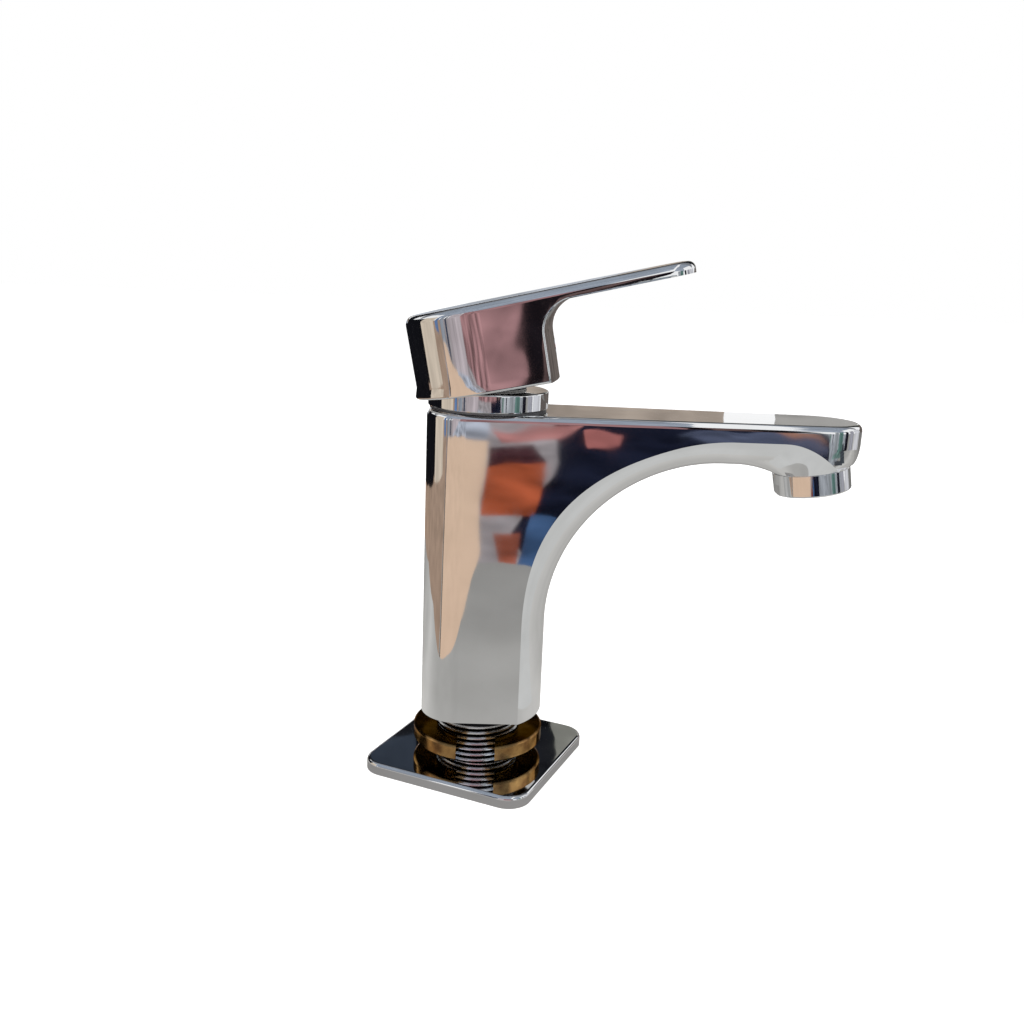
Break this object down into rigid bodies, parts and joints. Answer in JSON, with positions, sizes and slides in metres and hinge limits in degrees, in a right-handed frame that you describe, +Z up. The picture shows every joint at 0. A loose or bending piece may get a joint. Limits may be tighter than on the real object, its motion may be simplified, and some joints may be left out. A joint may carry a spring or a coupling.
{
  "type": "basin mixer faucet",
  "caption": "Single-lever basin mixer tap: cast column with an arched spout and aerator, lever handle on a ceramic cartridge, threaded shank, slotted lock ring and square cover plate.",
  "frame": {"origin": "on the shank's axis at the underside of the cover plate", "axes": "+Z up along the shank and column, +X towards the spout's end"},
  "size_m": [0.184, 0.086, 0.1995],
  "materials": {
    "chrome": "mirror polished",
    "ring_brass": "machined",
    "nut_brass": "machined",
    "rubber": "matte",
    "insert_plastic": "moulded",
    "screen_steel": "etched mesh",
    "cartridge_plastic": "moulded",
    "disc_ceramic": "lapped",
    "carrier_plastic": "moulded",
    "stem_metal": "machined",
    "slip_plastic": "moulded",
    "plug_plastic": "plated"
  },
  "bodies": {
    "body": {"faucet_body": "chrome", "mounting_shank": "chrome", "lock_ring": "ring_brass", "aerator_housing": "chrome", "aerator_insert": "insert_plastic", "aerator_screen": "screen_steel", "aerator_washer": "rubber", "cartridge_housing": "cartridge_plastic", "cartridge_base": "cartridge_plastic", "port_seals": "rubber", "disc_seals": "rubber", "fixed_disc": "disc_ceramic", "cartridge_nut": "nut_brass", "slip_ring": "slip_plastic", "cartridge_collar": "chrome"},
    "plate": {"cover_plate": "chrome", "plate_gasket": "rubber"},
    "turret": {"stem_guide": "carrier_plastic", "stem_pin": "stem_metal"},
    "slider": {"moving_disc": "disc_ceramic", "disc_carrier": "carrier_plastic"},
    "lever": {"handle": "chrome", "stem": "stem_metal", "set_screw": "stem_metal", "index_plug": "plug_plastic"}
  },
  "joints": [
    {"name": "handle_swivel", "type": "hinge", "parent": "body", "child": "turret", "pos_m": [0, 0, 0.1446], "axis": [0, 0, 1], "range_deg": [-45, 45]},
    {"name": "lever_lift", "type": "hinge", "parent": "turret", "child": "lever", "pos_m": [0, 0, 0.1446], "axis": [0, -1, 0], "range_deg": [-11, 5]},
    {"name": "disc_slide", "type": "slide", "parent": "turret", "child": "slider", "axis": [1, 0, 0], "range_m": [-0.0034, 0.0018]},
    {"name": "plate_turn", "type": "hinge", "parent": "body", "child": "plate", "pos_m": [0, 0, 0], "axis": [0, 0, 1], "continuous": true}
  ],
  "couplings": [
    {"joint": "disc_slide", "follows": "lever_lift", "m_per_rad": 0.0172}
  ]
}
